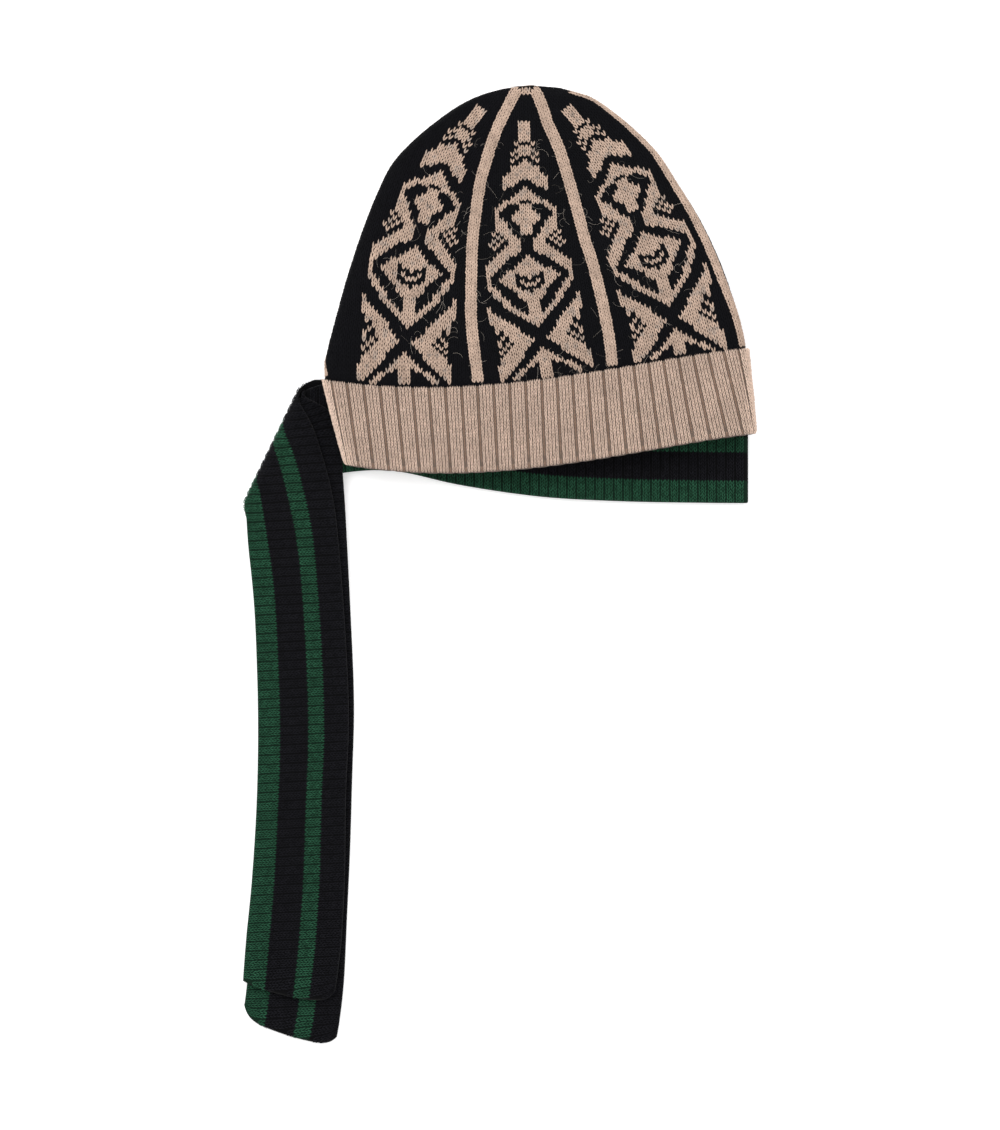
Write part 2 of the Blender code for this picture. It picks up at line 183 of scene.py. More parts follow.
# x (in HAT_WIDTH), y (in HAT_HEIGHT), radius (in HAT_WIDTH), rise (in CROWN_HALF_DEPTH)
CROWN_DENTS = (
    (-0.30, 0.42, 0.14, -0.16),
    (0.05, 0.30, 0.16, 0.14),
    (0.30, 0.48, 0.13, -0.14),
    (-0.16, 0.72, 0.13, 0.12),
    (0.13, 0.78, 0.11, -0.10),
)


def smooth_rows(rows, count):
    """The table's columns at count even steps, on a cubic (Catmull-Rom) through its rows."""
    rows = np.array(rows, float)
    padded = np.vstack([2 * rows[0] - rows[1], rows, 2 * rows[-1] - rows[-2]])
    place = np.linspace(0, len(rows) - 1, count)
    start = np.minimum(place.astype(int), len(rows) - 2)
    t = (place - start)[:, None]
    a, b, c, d = (padded[start + k] for k in range(4))
    return b + 0.5 * t * (c - a + t * (2 * a - 5 * b + 4 * c - d + t * (3 * (b - c) + d - a)))


def rise(x):
    """0 below 0, 1 above 1, and 3 x2 - 2 x3 between."""
    x = np.clip(x, 0, 1)
    return x * x * (3 - 2 * x)


def sag_shape(t):
    """A bow over 0 to 1, t (1 - t) to a power, that is 1 at SAG_PEAK."""
    t = np.clip(t, 0, 1)
    lean = (1 - SAG_PEAK) / SAG_PEAK
    return t * (1 - t) ** lean / (SAG_PEAK * (1 - SAG_PEAK) ** lean)


def hat_base(t, lift):
    """Level of the hat's underside, which lies on the strip and steps up at the left fold."""
    return lift * (BASE_RIGHT + (BASE_LEFT - BASE_RIGHT) * (1 - rise(4 * t)))


def flattened(ring, x, height, side):
    """A place on a flattened loop: x runs along the flat and on round the half round at its end,
    height is over the surface, and side is 1 for the front sheet and -1 for the back one.
    Past the flat by a, the place is at angle a / reach round a circle of radius reach + height."""
    left_x, left_y, right_x, right_y, sag, reach, inset, centre, lift, dent = ring
    half = np.hypot(right_x - left_x, right_y - left_y) / 2
    local = (x - (left_x + right_x) / 2) * 2 * half / (right_x - left_x)
    flat = half - inset
    past = np.abs(local) - flat
    angle = np.clip(past / reach, 0, math.pi)
    over = np.maximum(past - math.pi * reach, 0)
    across = np.minimum(np.abs(local), flat) + (reach + height) * np.sin(angle) - over
    t = (np.sign(local) * across / half + 1) / 2
    upward = side * np.cos(angle)
    spot_x = left_x + t * (right_x - left_x)
    spot_y = left_y + t * (right_y - left_y) - sag * sag_shape(t)
    level = hat_base(t, lift) + centre + (reach + height) * upward
    return spot_x, spot_y, level, upward, dent


def cuff_line(v):
    """Left and right ends of the cuff's ring at share v of its height."""
    left = np.stack([(-0.459 - 0.057 * v) * HAT_WIDTH, 0.012 * HAT_HEIGHT + CUFF_HEIGHT * v])
    right = np.stack([(0.511 - 0.016 * v) * HAT_WIDTH, 0.092 * HAT_HEIGHT + CUFF_HEIGHT * v])
    return left + SHIFT[:, None], right + SHIFT[:, None]


def crown_rings():
    """One row for each ring: both ends, sag, radius, inset, middle height, lift and dent strength."""
    rims = np.array([1 - CUFF_OVERLAP / CUFF_HEIGHT, 1 - GAP / CUFF_HEIGHT])
    left, right = cuff_line(rims)
    same = np.ones(2)
    low = np.column_stack([
        *left, *right, ROW_SAG * same, CROWN_HALF_DEPTH * same,
        CUFF_HALF_DEPTH * same, CUFF_HALF_DEPTH * same, same, 0 * same,
    ])
    rows = smooth_rows(CROWN_OUTLINE, 60)
    height = (rows[:, 1] + rows[:, 3]) / 2
    fade = rise((height - height[0]) / (1 - height[0]))
    lift = 1 - rise((height - height[0]) / 0.45)
    rest = (WALL + GAP) * lift + SEAM_RIDGE_HEIGHT * (1 - lift)
    depth = CROWN_HALF_DEPTH * rows[:, 4]
    shown = rise((1 + np.linspace(0, 19, len(rows))) / 3)
    high = np.column_stack([
        rows[:, 0] * HAT_WIDTH + SHIFT[0], rows[:, 1] * HAT_HEIGHT + SHIFT[1],
        rows[:, 2] * HAT_WIDTH + SHIFT[0], rows[:, 3] * HAT_HEIGHT + SHIFT[1],
        ROW_SAG * (1 - fade), depth, depth, rest + depth, lift, shown,
    ])
    tip = high[-1].copy()
    tip[:4] = (-0.031 * HAT_WIDTH + SHIFT[0], 0.999 * HAT_HEIGHT + SHIFT[1],
               -0.013 * HAT_WIDTH + SHIFT[0], 0.999 * HAT_HEIGHT + SHIFT[1])
    tip[5:7] = 1.6 * MM
    return np.vstack([low, high, tip])


CROWN_RINGS = crown_rings()


def crown_ring(v):
    """The crown's ring at number v, linear between the rows."""
    return [np.interp(v, np.arange(len(CROWN_RINGS)), column) for column in CROWN_RINGS.T]


def crown_height(x, y):
    """Number of the ring that passes the plan place (x, y), found by halving."""
    low = np.zeros(np.shape(x))
    high = low + len(CROWN_RINGS) - 1
    for _ in range(15):
        middle = (low + high) / 2
        under = flattened(crown_ring(middle), x, 0.0, 1)[1] < y
        low = np.where(under, middle, low)
        high = np.where(under, high, middle)
    return (low + high) / 2


def with_dents(spot, strength):
    """Level of the front with its shallow dents and swells, each a smooth round step."""
    x, y, level, upward, dent = spot
    for dent_x, dent_y, radius, depth in CROWN_DENTS:
        away = np.hypot(x - dent_x * HAT_WIDTH - SHIFT[0], y - dent_y * HAT_HEIGHT - SHIFT[1])
        away = away / (radius * HAT_WIDTH)
        level = level + strength * dent * depth * CROWN_HALF_DEPTH * (1 - rise(away)) * np.clip(upward, 0, 1)
    return np.stack([x, y, level], axis=-1)


def crown_spot(x, y, height, side):
    """Place in space of a point of the crown's knit, from its plan place on the opened-out sheet."""
    return with_dents(flattened(crown_ring(crown_height(x, y)), x, height, side), 1)


def grid_corners(rows, columns, looped_rows=False):
    """Triangles of a grid of points whose columns close into loops."""
    here = np.arange(rows * columns).reshape(rows, columns)
    below = here if looped_rows else here[:-1]
    above = np.roll(here, -1, axis=0) if looped_rows else here[1:]
    a, b = below, np.roll(below, -1, axis=1)
    d, c = above, np.roll(above, -1, axis=1)
    return np.concatenate([np.stack([a, b, c], -1).reshape(-1, 3), np.stack([a, c, d], -1).reshape(-1, 3)])


def wool(name, weight):
    """Brushed wool yarn: short fibres lie at all angles over the stitches, so the light spreads, the
    edges of the stitches look soft and pale, and the colour varies a little from fibre to fibre."""
    material, tree, shader = new_material(name)
    spot = node(tree, "ShaderNodeTexCoord").outputs["Object"]
    colour = node(tree, "ShaderNodeAttribute", attribute_name="yarn").outputs["Color"]
    # Fibre tufts of 0.35 mm, and the slow change of dye and wear over 14 mm
    tufts = node(tree, "ShaderNodeTexNoise", {"Vector": spot, "Scale": 1 / (0.35 * MM), "Detail": 3.0})
    dye = node(tree, "ShaderNodeTexNoise", {"Vector": spot, "Scale": 1 / (14 * MM), "Detail": 2.0})
    shade = node(tree, "ShaderNodeMapRange", {
        "Value": tufts.outputs["Fac"], "From Min": 0.3, "From Max": 0.7, "To Min": 0.70, "To Max": 1.28})
    slow = node(tree, "ShaderNodeMapRange", {
        "Value": dye.outputs["Fac"], "From Min": 0.3, "From Max": 0.7, "To Min": 0.93, "To Max": 1.06})
    both = node(tree, "ShaderNodeMath", {0: shade.outputs["Result"], 1: slow.outputs["Result"]},
                operation="MULTIPLY")
    worn = node(tree, "ShaderNodeVectorMath", {0: colour}, operation="SCALE")
    tree.links.new(both.outputs["Value"], worn.inputs["Scale"])
    tree.links.new(worn.outputs["Vector"], shader.inputs["Base Color"])
    relief = node(tree, "ShaderNodeBump", {
        "Strength": 0.55, "Distance": 0.12 * MM, "Height": tufts.outputs["Fac"]})
    tree.links.new(relief.outputs["Normal"], shader.inputs["Normal"])
    shader.inputs["Roughness"].default_value = 0.92
    shader.inputs["Specular IOR Level"].default_value = 0.08
    shader.inputs["Sheen Weight"].default_value = weight
    shader.inputs["Sheen Roughness"].default_value = 0.45
    return material


crown_wool = wool("brushed_black_and_beige_wool", 0.05)


def loop_places(count):
    """Sheet places and sides once round a loop: the front from left to right, then the back."""
    share = np.linspace(-1, 1, count)
    return np.concatenate([share, share[::-1]]), np.concatenate([np.ones(count), -np.ones(count)])


def crown_shell():
    """Outer cloth up to the tip and inner cloth back down, both a little under the stitches."""
    share, side = loop_places(90)
    sheets = []
    for number, sink in [(n, CLOTH_SINK) for n in np.arange(0, len(CROWN_RINGS) - 0.9, 0.5)] + [
            (n, WALL) for n in np.arange(len(CROWN_RINGS) - 4, -1.0, -1.0)]:
        ring = crown_ring(number)
        half = np.hypot(ring[2] - ring[0], ring[3] - ring[1]) / 2
        reach = half - ring[6] + ring[5] * math.pi / 2
        middle = (ring[0] + ring[2]) / 2
        x = middle + share * reach * (ring[2] - ring[0]) / (2 * half)
        sheets.append(with_dents(flattened(ring, x, -sink, side), 1))
    return np.array(sheets)


shell = crown_shell()
# The cloth's colour is the black yarn's at 0.8: painted shade, as the cloth lies in the shade of the stitches over
# it.
crown_cloth = mesh_piece(
    "crown_cloth", shell.reshape(-1, 3), grid_corners(*shell.shape[:2], looped_rows=True),
    crown_wool, np.tile(linear(CROWN_BLACK) * 0.8, (shell.shape[0] * shell.shape[1], 1)))
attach(crown_cloth, "root")
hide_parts("crown")

# --- Crown stitches ----------------------------------------------------------------------------
# Plain knit of two yarns: each stitch shows as a V of two plump legs. The traditional figure of
# nested lozenges is repeated on each gore, with its wales parallel to the gore's middle line.
WALE = 2.17 * MM
ROW = 1.83 * MM
YARN_RISE = 0.50 * MM
LINE_HALF_WIDTH = 3.0 * MM
CROWN_BEIGE = "#AE9787"
CHART_TOP = 62
# One half of the figure, from its top row down. The first place is the middle wale.
CHART = """
xx xx xx xx xx xx ..x xx xxx xx.x ..x x..x
xx xxxx xxxx xxxxx xxxxxx ..xxxx ...xxx x....x xx xxx
xxxx ..xxxx xx...xx xx....xx xxx....x xxxx...x xxxx..xx xxx..xxx xx...xxx xx..xxxx
xx..xxx.x ...xxx.x ..xxx.x.x ..xxx..x.x ..xxxx..x ..xxxxx ...xxxxx x....xxxx xx....xxxx
xxx....xxxx xxxx....xxx xxxxxx...xx xxx.xxx...x x...xxxx..x ..x.xxx...x xx..xx...xx ...xx...xx
.xxx....xx xxxx...xx xxx...xx xx....xx...x xx...xx....x xx..xx....xx xx.xx....xxx xxxx....xxxx
xxx....xxxx xx....xxxxx x....xxxx.x .....xxxx ....xxxx.x ...xxxxx..x ..xxxxx.x.x ...xxxxx.x
....xxxxx.x x....xxxxx xx...xxxxxx xxx...xxxxx xxxx...xxxxx xx.xx...xxxx xx...xx..xxx
xx....xx..xx xx.....xx..x xx......x
""".split()
# Middle lines of the front gores from the cuff up, in pixels of the view, the pixel row where the
# figure's lowest crossing lies, and the height of a row in pixels
GORE_LEFT = (((404, 385), (404, 360), (405, 341), (408, 320), (410, 290), (412, 266), (418, 240),
              (427, 207.5), (437.5, 179), (450, 151.5), (465.5, 127.5), (485, 101)), 338, 3.97)
GORE_MIDDLE = (((551, 400), (550, 390), (547, 372), (540, 335), (530, 278), (526, 218), (525, 160),
                (524, 120), (524, 95)), 335, 3.45)
GORE_RIGHT = (((684, 375), (680, 350), (671, 312), (664, 285), (655, 258), (643, 233), (634, 210),
               (624, 184.5), (611, 161), (596.5, 142), (582, 124), (566, 105)), 315, 3.78)
# Raised lines between the gores, in pixels of the view
LINE_LEFT = ((478, 392), (478, 380), (475.5, 360), (472, 330), (471, 300), (472.5, 240), (476, 210),
             (480.5, 180), (486, 160), (492, 140), (500, 120), (505, 110), (510, 100), (515, 90), (520, 84))
LINE_RIGHT = ((618, 385), (613, 367), (609.5, 340), (602, 300), (592, 260), (585.5, 240), (575, 200),
              (563.5, 160), (556.5, 140), (547.5, 120), (544.5, 110), (541, 100), (537, 90), (532, 84))
# How far each fold's line lies past the end of the front's flat, at heights in HAT_HEIGHT
RIGHT_FOLD_LINE = ((0.2, 7.6 * MM), (0.38, 6.8 * MM), (0.5, 5.6 * MM), (0.72, 6.3 * MM), (0.9, 7.8 * MM),
                   (1.0, 7.8 * MM))
LEFT_FOLD_LINE = ((0.24, 8.5 * MM), (0.27, 10.5 * MM), (0.31, 18.0 * MM), (1.0, 18.0 * MM))
# Beige stitches that lie less than this far above the cuff's top edge are coloured black: a painted shadow of the
# cuff's edge on the crown
CUFF_EDGE_SHADOW_ROW = 1.7 * MM
# Above this pixel row the stitches between the lines are beige too
BEIGE_TIP = 92
CROWN_LEVEL = 24 * MM


def from_view(pixels):
    """Plan place of pixels of the view on the crown, which is nearer to the lens than the level
    at which a pixel is PIXEL wide."""
    nearer = (CAMERA_HEIGHT - CROWN_LEVEL) / (CAMERA_HEIGHT - VIEW_LEVEL)
    return PIXEL / 2 + (np.array(pixels, float) - (500, 565)) * (1, -1) * PIXEL * nearer


class Course:
    """A curve in the plan with wales beside it: a place is the curve's point at its length, plus
    the distance across times the curve's right-hand normal. Past its ends it runs on straight."""

    def __init__(self, points, zero_y=None):
        rows = smooth_rows(points, 200)
        step = np.hypot(*np.diff(rows, axis=0).T)
        self.length = np.concatenate([[0], np.cumsum(step)])
        self.points = rows
        tangent = np.gradient(rows, self.length, axis=0)
        tangent = tangent / np.hypot(*tangent.T)[:, None]
        self.normal = np.column_stack([tangent[:, 1], -tangent[:, 0]])
        if zero_y is not None:
            self.length = self.length - np.interp(zero_y, rows[:, 1], self.length)

    def place(self, across, along):
        x, y, normal_x, normal_y = (
            np.interp(along, self.length, column)
            for column in (*self.points.T, *self.normal.T))
        past = along - np.clip(along, self.length[0], self.length[-1])
        return x + across * normal_x - past * normal_y, y + across * normal_y + past * normal_x


# A leg of a stitch: across in wales, along in rows, and its rise from the cloth to the crest
LEG = np.array([
    (-0.02, -0.40, 0.00), (-0.36, 0.02, 0.25), (-0.15, 0.06, 0.85), (0.02, 0.00, 0.25),
    (-0.54, 0.72, 0.20), (-0.33, 0.76, 0.95), (-0.10, 0.68, 0.20), (-0.34, 1.30, 0.05)])
LEG_CORNERS = np.array([
    (0, 2, 1), (0, 3, 2), (1, 2, 5), (1, 5, 4), (2, 3, 6), (2, 6, 5), (4, 5, 7), (5, 6, 7)])


def stitches(wale, row, seed, slim=1.0, spread=1.0, reach=1.0):
    """Both legs of each stitch, as arrays of across, along and rise, with the triangles. The right
    leg is the left one's mirror image. Each stitch is moved and plumped a little by chance. Slim
    narrows each leg about its own middle line, spread opens the V, and reach shortens the legs."""
    chance = np.random.default_rng(seed)
    jitter = chance.normal(0, 0.042, (len(wale), 1, 1, 2))
    plump = chance.normal(1, 0.09, (len(wale), 1, 1))
    leg = LEG.copy()
    line = leg[0, 0] + (leg[7, 0] - leg[0, 0]) * (leg[:, 1] - leg[0, 1]) / (leg[7, 1] - leg[0, 1])
    leg[:, 0] = line * spread + (leg[:, 0] - line) * slim
    leg[:, 1] = 0.45 + (leg[:, 1] - 0.45) * reach
    legs = np.stack([leg, leg * (-1, 1, 1)])
    across = wale[:, None, None] + legs[None, :, :, 0] + jitter[..., 0]
    along = row[:, None, None] + legs[None, :, :, 1] + jitter[..., 1]
    lift = legs[None, :, :, 2] * plump
    pair = np.stack([LEG_CORNERS, LEG_CORNERS[:, ::-1] + len(LEG)])
    corners = pair[None] + np.arange(len(wale))[:, None, None, None] * 2 * len(LEG)
    return across.ravel(), along.ravel(), lift.ravel(), corners.reshape(-1, 3)


def yarn_colours(base, seed, spread=0.07):
    """A colour for every point of each stitch, its base colour made lighter or darker by chance."""
    chance = np.random.default_rng(seed).normal(1, spread, (len(base), 1))
    return np.repeat(base * np.clip(chance, 0.7, 1.3), 2 * len(LEG), axis=0)


def fold_line(table, end, side):
    """Sheet place of a line that follows a side fold, for each height: the end of the ring's flat
    plus the table's distance, or on the back sheet the whole half round less that distance. It
    gives heights and places for interpolation."""
    rings = CROWN_RINGS
    half = np.hypot(rings[:, 2] - rings[:, 0], rings[:, 3] - rings[:, 1]) / 2
    middle = (rings[:, 0] + rings[:, 2]) / 2
    height = (rings[:, 3] if end > 0 else rings[:, 1]) - SHIFT[1]
    shares, away = np.array(table).T
    away = np.interp(height / HAT_HEIGHT, shares, away)
    away = away if side > 0 else math.pi * rings[:, 5] - away
    place = middle + end * (half - rings[:, 6] + away) * (rings[:, 2] - rings[:, 0]) / (2 * half)
    return height + SHIFT[1], place


def line_place(course, y):
    """Sheet place of a raised line at height y."""
    heights, places = course
    return np.interp(y, heights, places)


def chart_colour(wale, row):
    """True where the figure's half chart holds an x for this row and distance from the middle."""
    width = max(len(line) for line in CHART)
    grid = np.array([[c == "x" for c in line.ljust(width, ".")] for line in CHART])
    line = CHART_TOP - row
    inside = (line >= 0) & (line < len(CHART)) & (np.abs(wale) < width)
    return grid[np.clip(line, 0, len(CHART) - 1), np.clip(np.abs(wale), 0, width - 1)] & inside


left_line = Course(from_view(LINE_LEFT))
right_line = Course(from_view(LINE_RIGHT))
left_places = (left_line.points[:, 1], left_line.points[:, 0])
right_places = (right_line.points[:, 1], right_line.points[:, 0])
right_fold = fold_line(RIGHT_FOLD_LINE, 1, 1)
left_fold = fold_line(LEFT_FOLD_LINE, -1, 1)
back_left = fold_line(LEFT_FOLD_LINE, -1, -1)
back_right = fold_line(RIGHT_FOLD_LINE, 1, -1)


def ridge(x, y, side):
    """Height of the raised lines over the jersey: a smooth step up to the middle of each line. On
    the underside the hat's weight presses them to half."""
    height = 0
    for course, on_side in ((left_places, 0), (right_places, 0), (right_fold, 1), (left_fold, 1),
                            (back_left, -1), (back_right, -1)):
        away = np.abs(x - line_place(course, y)) / LINE_HALF_WIDTH
        height = height + SEAM_RIDGE_HEIGHT * (1 - rise((away - 0.35) / 0.65)) * (side == on_side or not on_side)
    return height * (1.0 if side > 0 else 0.5)


def over_cuff(x, y):
    """Distance of a plan place above the cuff's top edge."""
    return y - flattened(CROWN_RINGS[1], x, 0.0, 1)[1]


def gore_stitches(gore, side, left, right, seed):
    """The stitches of one gore between its two bounding lines: points, triangles and colours."""
    course, tall = gore
    wale, row = (grid.ravel() for grid in np.meshgrid(np.arange(-22, 23), np.arange(-26, 76)))
    x, y = course.place(wale * WALE, row * tall)
    low, high = line_place(left, y), line_place(right, y)
    margin = LINE_HALF_WIDTH - 0.1 * WALE
    number = crown_height(x, y)
    bare = flattened(crown_ring(number), x, 0.0, side)
    ends = CROWN_RINGS[1]
    cuff_top = ends[1] + (ends[3] - ends[1]) * (x - ends[0]) / (ends[2] - ends[0])
    keep = (x > low + margin) & (x < high - margin) & (bare[1] > cuff_top - 9 * MM)
    keep &= (number < len(CROWN_RINGS) - 1.08) & (bare[3] * side > -0.97)
    wale, row, x, y = wale[keep], row[keep], x[keep], y[keep]
    across, along, lift, corners = stitches(wale, row, seed, 0.90, 1.1, 0.96)
    x_at, y_at = course.place(across * WALE, (along - 0.45) * tall)
    points = crown_spot(x_at, y_at, ridge(x_at, y_at, side) + lift * YARN_RISE - CLOTH_SINK * 0.75, side)
    tip = (y > from_view([(500, BEIGE_TIP)])[0, 1]) & (left is left_places)
    # Stitches just above the cuff's edge stay black: painted shadow of the cuff's edge.
    beige = ((chart_colour(wale, row) | tip) & (over_cuff(x, y) > CUFF_EDGE_SHADOW_ROW))[:, None]
    chance = np.random.default_rng(seed + 50).random((len(wale), 1))
    shades = np.where(chance < 0.12, linear("#9E8D81"), linear(CROWN_BEIGE))
    return points, corners, yarn_colours(np.where(beige, shades, linear(CROWN_BLACK)), seed + 1)


def line_stitches(course, side, seed):
    """Three wales of beige along a raised line."""
    count = int(course.length[-1] / ROW)
    wale, row = (grid.ravel() for grid in np.meshgrid(np.arange(-1, 2), np.arange(0, count)))
    x, y = course.place(wale * WALE * 0.93, row * ROW)
    number = crown_height(x, y)
    bare = flattened(crown_ring(number), x, 0.0, side)
    keep = (number < len(CROWN_RINGS) - 1.04) & (bare[3] * side > -0.97)
    wale, row = wale[keep], row[keep]
    # Stitches just above the cuff's edge stay black: painted shadow of the cuff's edge.
    beige = (over_cuff(x, y) > CUFF_EDGE_SHADOW_ROW)[keep][:, None]
    across, along, lift, corners = stitches(wale * 0.93, row, seed)
    x, y = course.place(across * WALE, along * ROW)
    points = crown_spot(x, y, ridge(x, y, side) + lift * YARN_RISE * 1.1 - CLOTH_SINK * 0.5, side)
    return points, corners, yarn_colours(np.where(beige, linear(CROWN_BEIGE), linear(CROWN_BLACK)), seed + 1)


def join(*parts):
    """One set of points, triangles and colours from several."""
    starts = np.cumsum([0] + [len(points) for points, _, _ in parts[:-1]])
    return (np.concatenate([points for points, _, _ in parts]),
            np.concatenate([corners + start for (_, corners, _), start in zip(parts, starts)]),
            np.concatenate([colours for _, _, colours in parts]))


gores = [(Course(from_view(points), from_view([(500, zero)])[0, 1]), tall * PIXEL)
         for points, zero, tall in (GORE_LEFT, GORE_MIDDLE, GORE_RIGHT)]
left_course, right_course = (Course(np.column_stack([places, heights])[1:-1])
                             for heights, places in (back_left, right_fold))

front = join(
    gore_stitches(gores[0], 1, left_fold, left_places, 11),
    gore_stitches(gores[1], 1, left_places, right_places, 12),
    gore_stitches(gores[2], 1, right_places, right_fold, 13),
    *(line_stitches(course, 1, 14 + i) for i, course in enumerate([left_line, right_line, right_course])))
back = join(
    gore_stitches(gores[0], -1, back_left, left_places, 21),
    gore_stitches(gores[1], -1, left_places, right_places, 22),
    gore_stitches(gores[2], -1, right_places, back_right, 23),
    *(line_stitches(course, -1, 24 + i) for i, course in enumerate([left_line, right_line, left_course])))
for name, (points, corners, colours) in (("crown_stitches_front", front), ("crown_stitches_back", back)):
    if name.endswith("back"):
        corners = corners[:, ::-1]
    knit = mesh_piece(name, points, corners, crown_wool, colours)
    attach(knit, "root")

# --- Cuff --------------------------------------------------------------------------------------
# The beige rib cuff, knitted with the crown and turned up outside it. It is double: the outer
# wall, a soft bend at the bottom, and the inner wall up to the crown's rim.
RIB_COUNT = 56
RIB_DEPTH = 1.7 * MM
GROOVE_SHARE = 0.22
CUFF_WALES = 4
CUFF_ROW = 1.75 * MM
CUFF_BEIGE = "#D8BFAE"
# The beads' beige is the cuff's yarn made darker: painted shade, as they lie deep in the grooves
BEAD_SHADED_BEIGE = "#8E7464"
CUFF_BEND = WALL + GAP / 2
# How far the ribs' tops slip sideways, by share of the way round from the front's middle
RIB_SLIP = ((-0.5, 0), (-0.25, 0.5 * MM), (-0.19, 3 * MM), (-0.10, 5.5 * MM), (0, 6.4 * MM),
            (0.10, 3.5 * MM), (0.20, -2.5 * MM), (0.27, -3 * MM), (0.5, 0))
left_end, right_end = cuff_line(np.array([0.5]))
CUFF_FLAT = float(np.hypot(*(right_end - left_end))[0]) / 2 - CUFF_HALF_DEPTH
CUFF_AROUND = 4 * CUFF_FLAT + 2 * math.pi * CUFF_HALF_DEPTH


def cuff_place(around, v, inward):
    """Place on the cuff's ring at share v of its height. The way round runs from the front's middle
    to the right and is folded back to a sheet place: on the front itself, on the back half the
    whole way less it. Inward is the depth under the outer face."""
    slip_at, slip = np.array(RIB_SLIP).T
    around = around + (v - 0.5) * np.interp(around / CUFF_AROUND, slip_at, slip)
    around = (around + CUFF_AROUND / 2) % CUFF_AROUND - CUFF_AROUND / 2
    on_front = np.abs(around) <= CUFF_FLAT + CUFF_HALF_DEPTH * math.pi / 2
    local = np.where(on_front, around, np.sign(around) * (CUFF_AROUND / 2 - np.abs(around)))
    flat_v = np.ravel(v)
    (left_x, left_y), (right_x, right_y) = (end.reshape(2, *np.shape(v)) for end in cuff_line(flat_v))
    half = np.hypot(right_x - left_x, right_y - left_y) / 2
    x = (left_x + right_x) / 2 + local * (right_x - left_x) / (2 * half)
    ring = (left_x, left_y, right_x, right_y, ROW_SAG, CUFF_HALF_DEPTH, CUFF_HALF_DEPTH,
            CUFF_HALF_DEPTH, 1.0, 0.0)
    return with_dents(flattened(ring, x, -inward, np.where(on_front, 1, -1)), 0)


def cuff_outside(around, up, height):
    """Place over the outer face: up is the way from the bend. Below it the cloth turns under the
    bend at angle up / CUFF_BEND, a quarter turn at most."""
    angle = np.clip(-up / CUFF_BEND, 0, math.pi / 2)
    low = CUFF_BEND / CUFF_HEIGHT
    v = low + np.maximum(up, 0) / CUFF_HEIGHT - (CUFF_BEND + height) * np.sin(angle) / CUFF_HEIGHT
    inward = CUFF_BEND - (CUFF_BEND + height) * np.cos(angle)
    return cuff_place(around, v, inward)


def rib_relief(around, up):
    """Depth of the grooves: a smooth round valley at each rib's edge, fading under the bend."""
    share = around / CUFF_AROUND * RIB_COUNT % 1
    valley = 1 - rise(np.minimum(share, 1 - share) / GROOVE_SHARE)
    return RIB_DEPTH * valley * (0.25 + 0.75 * rise((up + 0.5 * CUFF_BEND) / (3.5 * MM)))


def cuff_shell():
    """The U form, ring by ring: outer wall from its top down, the bend, the inner wall, and back up
    between the two walls."""
    around = (np.arange(RIB_COUNT * 8) / (RIB_COUNT * 8) - 0.5) * CUFF_AROUND
    rings = []
    for up in (np.linspace(1, 0, 9) * (CUFF_HEIGHT - CUFF_BEND - 0.3 * WALL)).tolist() + [
            -a * CUFF_BEND * math.pi / 2 for a in (0.25, 0.5, 0.75, 1.0)]:
        height = np.full(around.shape, up)
        rings.append(cuff_outside(around, height, -CLOTH_SINK - rib_relief(around, height)))
    low = CUFF_BEND / CUFF_HEIGHT
    inner_top = 1 - (CUFF_OVERLAP + GAP) / CUFF_HEIGHT
    for v, inward in ((low * 0.3, 1.7 * CUFF_BEND), (low, 2 * CUFF_BEND), (inner_top, 2 * CUFF_BEND),
                      (inner_top, WALL + GAP), (low, WALL + GAP), (low, WALL),
                      (1 - 0.3 * WALL / CUFF_HEIGHT, WALL), (1.0, 0.7 * WALL), (1.0, 0.45 * WALL)):
        rings.append(cuff_place(around, np.full(around.shape, v), inward))
    return np.array(rings)


cuff_wool = wool("brushed_beige_wool", 0.08)
shell = cuff_shell()
# The cloth's colour is the cuff's beige at 0.20: painted shade, as it lies deep under the stitches and in the
# grooves.
cuff_cloth = mesh_piece(
    "cuff_cloth", shell.reshape(-1, 3), grid_corners(*shell.shape[:2], looped_rows=True)[:, ::-1],
    cuff_wool, np.tile(linear(CUFF_BEIGE) * 0.20, (shell.shape[0] * shell.shape[1], 1)))
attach(cuff_cloth, "root")
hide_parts("cuff")

rows_up = int((CUFF_HEIGHT - CUFF_BEND) / CUFF_ROW)
column, row = (grid.ravel() for grid in np.meshgrid(
    np.arange(RIB_COUNT * CUFF_WALES), np.arange(-2, rows_up)))
across, along, lift, corners = stitches(np.zeros(len(column)), row, 31, 0.62, 1.05, 0.92)
pitch = (1 - 0.75 * GROOVE_SHARE) / CUFF_WALES
rib = column // CUFF_WALES + 0.5 + (column % CUFF_WALES - (CUFF_WALES - 1) / 2) * pitch
around = (np.repeat(rib, 2 * len(LEG)) + across * pitch * 0.86) / RIB_COUNT * CUFF_AROUND - CUFF_AROUND / 2
up = (along + 0.5) * CUFF_ROW
points = cuff_outside(around, up, lift * YARN_RISE * 1.35 - CLOTH_SINK - rib_relief(around, up))
ribs = points, corners, yarn_colours(np.tile(linear(CUFF_BEIGE), (len(column), 1)), 32, 0.06)
